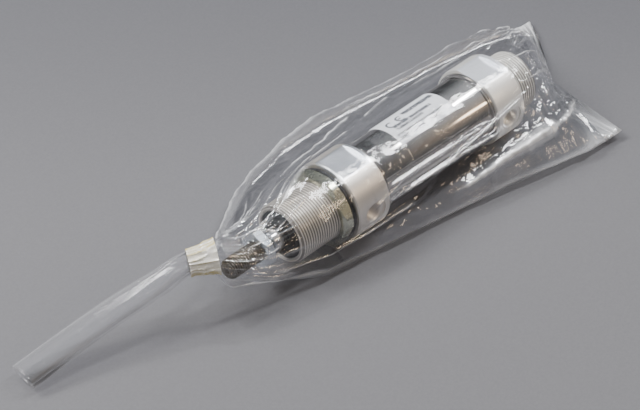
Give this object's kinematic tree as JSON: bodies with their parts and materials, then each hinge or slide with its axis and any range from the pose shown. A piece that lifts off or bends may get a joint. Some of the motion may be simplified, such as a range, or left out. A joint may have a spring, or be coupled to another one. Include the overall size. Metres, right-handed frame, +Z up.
{
  "type": "pneumatic cylinder",
  "caption": "Round pneumatic cylinder with threaded noses, a nutted piston rod and spanner flats, tied up in a clear plastic bag.",
  "frame": {"origin": "middle of the front cap's lower spanner flat", "axes": "X along the cylinder with the rod towards -X, Z up from the surface that it lies on, Y across"},
  "size_m": [0.358, 0.115, 0.0428],
  "materials": {
    "tube_steel": "polished",
    "front_cap_aluminium": "satin anodised",
    "rear_cap_aluminium": "satin anodised",
    "label_film": "matt printed film",
    "bush_bronze": "sintered",
    "black_rubber": "moulded",
    "clear_film": "clear",
    "band_tape": "translucent",
    "guide_plastic": "moulded",
    "rod_steel": "hard chromed",
    "piston_aluminium": "turned",
    "magnet_plastic": "moulded",
    "yellow_zinc": "zinc plated",
    "bright_zinc": "zinc plated",
    "black_washer": "blackened"
  },
  "bodies": {
    "barrel": {"barrel_tube": "tube_steel", "front_cap": "front_cap_aluminium", "rear_cap": "rear_cap_aluminium", "identity_label": "label_film", "rod_bush": "bush_bronze", "rod_wiper_seal": "black_rubber", "front_cap_oring": "black_rubber", "rear_cap_oring": "black_rubber", "front_buffer": "black_rubber", "rear_buffer": "black_rubber", "bag_body": "clear_film"},
    "slider": {"piston_seal_front": "black_rubber", "piston_seal_rear": "black_rubber", "guide_ring": "guide_plastic", "bag_neck": "clear_film", "neck_band": "band_tape", "bag_tail": "clear_film"},
    "rod": {"piston_rod": "rod_steel", "piston_front_half": "piston_aluminium", "piston_rear_half": "piston_aluminium", "piston_magnet": "magnet_plastic", "piston_nut": "yellow_zinc"},
    "rod_nut": {"rod_nut": "bright_zinc"},
    "nose_washer": {"nose_washer": "black_washer"},
    "nose_nut": {"nose_nut": "yellow_zinc"}
  },
  "joints": [
    {"name": "rod_slide", "type": "slide", "parent": "barrel", "child": "slider", "axis": [-1, 0, 0], "range_m": [0, 0.05]},
    {"name": "rod_turn", "type": "hinge", "parent": "slider", "child": "rod", "pos_m": [0, 0, 0.0185], "axis": [1, 0, 0], "continuous": true},
    {"name": "rod_nut_turn", "type": "hinge", "parent": "rod", "child": "rod_nut", "pos_m": [-0.05525, 0, 0.0185], "axis": [-1, 0, 0], "range_deg": [0, 360]},
    {"name": "nose_washer_slide", "type": "slide", "parent": "barrel", "child": "nose_washer", "axis": [-1, 0, 0], "range_m": [0, 0.0076]},
    {"name": "nose_nut_turn", "type": "hinge", "parent": "nose_washer", "child": "nose_nut", "pos_m": [-0.01525, 0, 0.0185], "axis": [-1, 0, 0], "range_deg": [0, 1800]}
  ],
  "couplings": [
    {"joint": "nose_washer_slide", "follows": "nose_nut_turn", "m_per_rad": 0.00023873}
  ]
}
